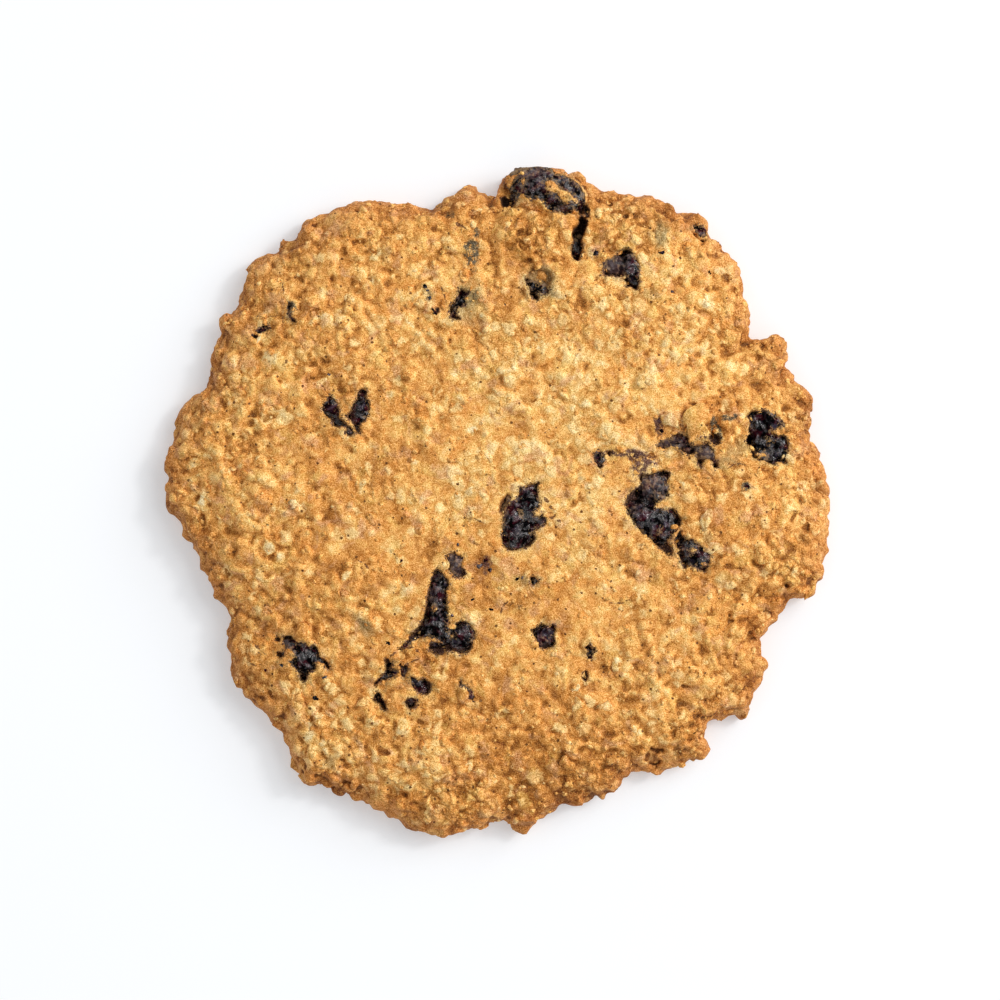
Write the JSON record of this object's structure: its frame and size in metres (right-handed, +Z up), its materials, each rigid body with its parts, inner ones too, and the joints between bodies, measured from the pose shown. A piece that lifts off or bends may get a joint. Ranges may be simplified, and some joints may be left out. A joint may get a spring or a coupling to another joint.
{
  "type": "cranberry butter biscuit",
  "caption": "Flat round baked oat biscuit with a craggy rim and dark dried cranberries set in its top face, lying on its flat underside.",
  "frame": {"origin": "on the flat underside, under the middle of the biscuit's level box", "axes": "+Z up through the face that the cranberries are set in; +Y towards the cranberry on the back rim"},
  "size_m": [0.1, 0.1008, 0.0097],
  "materials": {
    "baked_dough": "golden oat dough, crumbly and matt, browner at the rim",
    "dried_cranberry": "near-black wine red, wrinkled, sticky gloss"
  },
  "bodies": {
    "root": {"dough": "baked_dough", "cranberry_arched": "dried_cranberry", "cranberry_back": "dried_cranberry", "cranberry_back_right": "dried_cranberry", "cranberry_back_rim": "dried_cranberry", "cranberry_bent": "dried_cranberry", "cranberry_beside_large": "dried_cranberry", "cranberry_bit_back": "dried_cranberry", "cranberry_bit_front": "dried_cranberry", "cranberry_bit_left": "dried_cranberry", "cranberry_bit_left_rim": "dried_cranberry", "cranberry_bit_middle": "dried_cranberry", "cranberry_bit_right": "dried_cranberry", "cranberry_crack": "dried_cranberry", "cranberry_crater": "dried_cranberry", "cranberry_crumbed": "dried_cranberry", "cranberry_forked": "dried_cranberry", "cranberry_front": "dried_cranberry", "cranberry_large": "dried_cranberry", "cranberry_left": "dried_cranberry", "cranberry_middle": "dried_cranberry", "cranberry_right": "dried_cranberry", "cranberry_sliver": "dried_cranberry", "cranberry_veiled": "dried_cranberry"}
  },
  "joints": []
}
